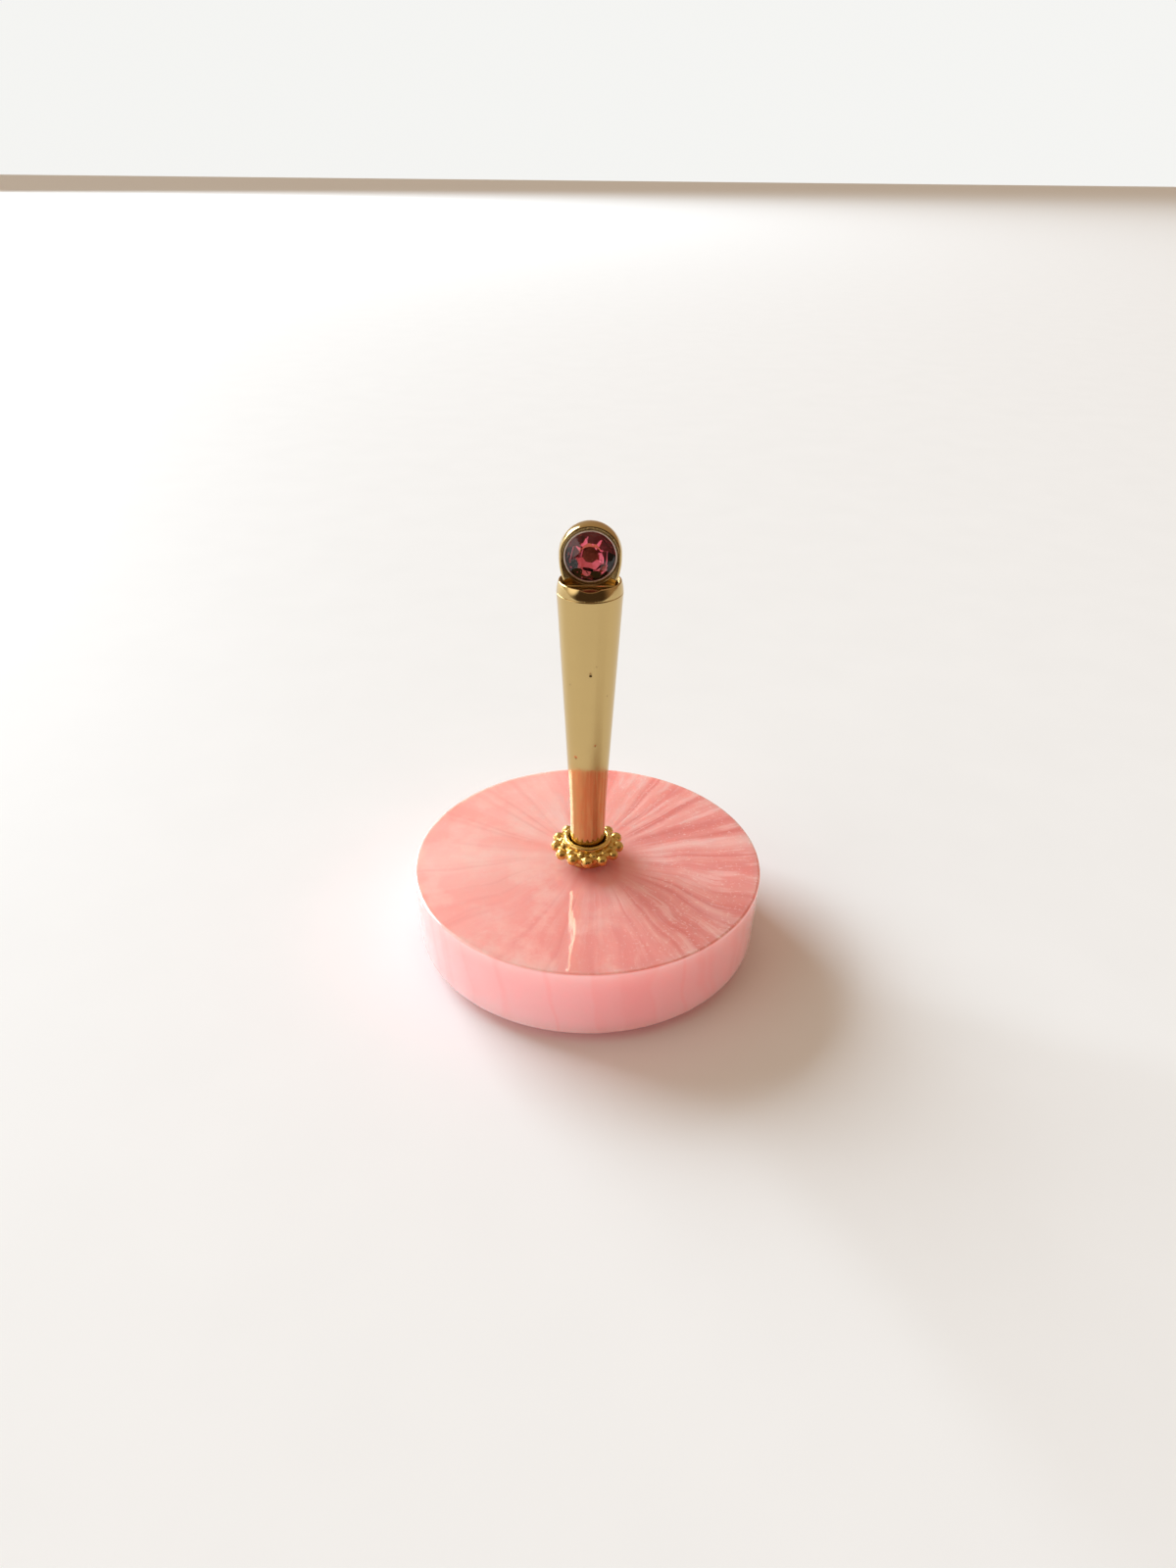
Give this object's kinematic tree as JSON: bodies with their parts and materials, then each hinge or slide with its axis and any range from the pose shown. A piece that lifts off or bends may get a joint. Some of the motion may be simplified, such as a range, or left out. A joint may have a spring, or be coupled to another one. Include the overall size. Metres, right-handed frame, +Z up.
{
  "type": "spinning top",
  "caption": "Small ornamental top: a cast resin disc on a flat pivot, with a tapered metal stem, a loose beaded ring at its foot and a faceted stone in its domed head.",
  "frame": {"origin": "centre of the pivot's flat end, on the surface that the object stands on", "axes": "+Z up along the stem, -Y towards the side that the stone faces, +X to the right of someone who faces the stone"},
  "size_m": [0.05, 0.05, 0.0618],
  "materials": {
    "resin": "pearly pink cast resin, polished to a gloss, with veins that run out from the middle",
    "pale_gold": "pale gold, polished to a mirror, with a few small pits",
    "warm_gold": "warm antique gold, cast, bright on the high points and dark in the gaps",
    "steel": "plain turned steel",
    "red_crystal": "pink-red cut glass with a foil back"
  },
  "bodies": {
    "top": {"disc": "resin", "pivot_screw": "steel", "stem": "pale_gold", "seat_washer": "warm_gold", "setting_head": "pale_gold", "bezel_ring": "warm_gold", "crystal": "red_crystal"},
    "beaded_ring": {"bead_spacer": "warm_gold"}
  },
  "joints": [
    {"name": "ring_turn", "type": "hinge", "parent": "top", "child": "beaded_ring", "pos_m": [0, 0, 0.01474], "axis": [0, 0, 1], "continuous": true}
  ]
}
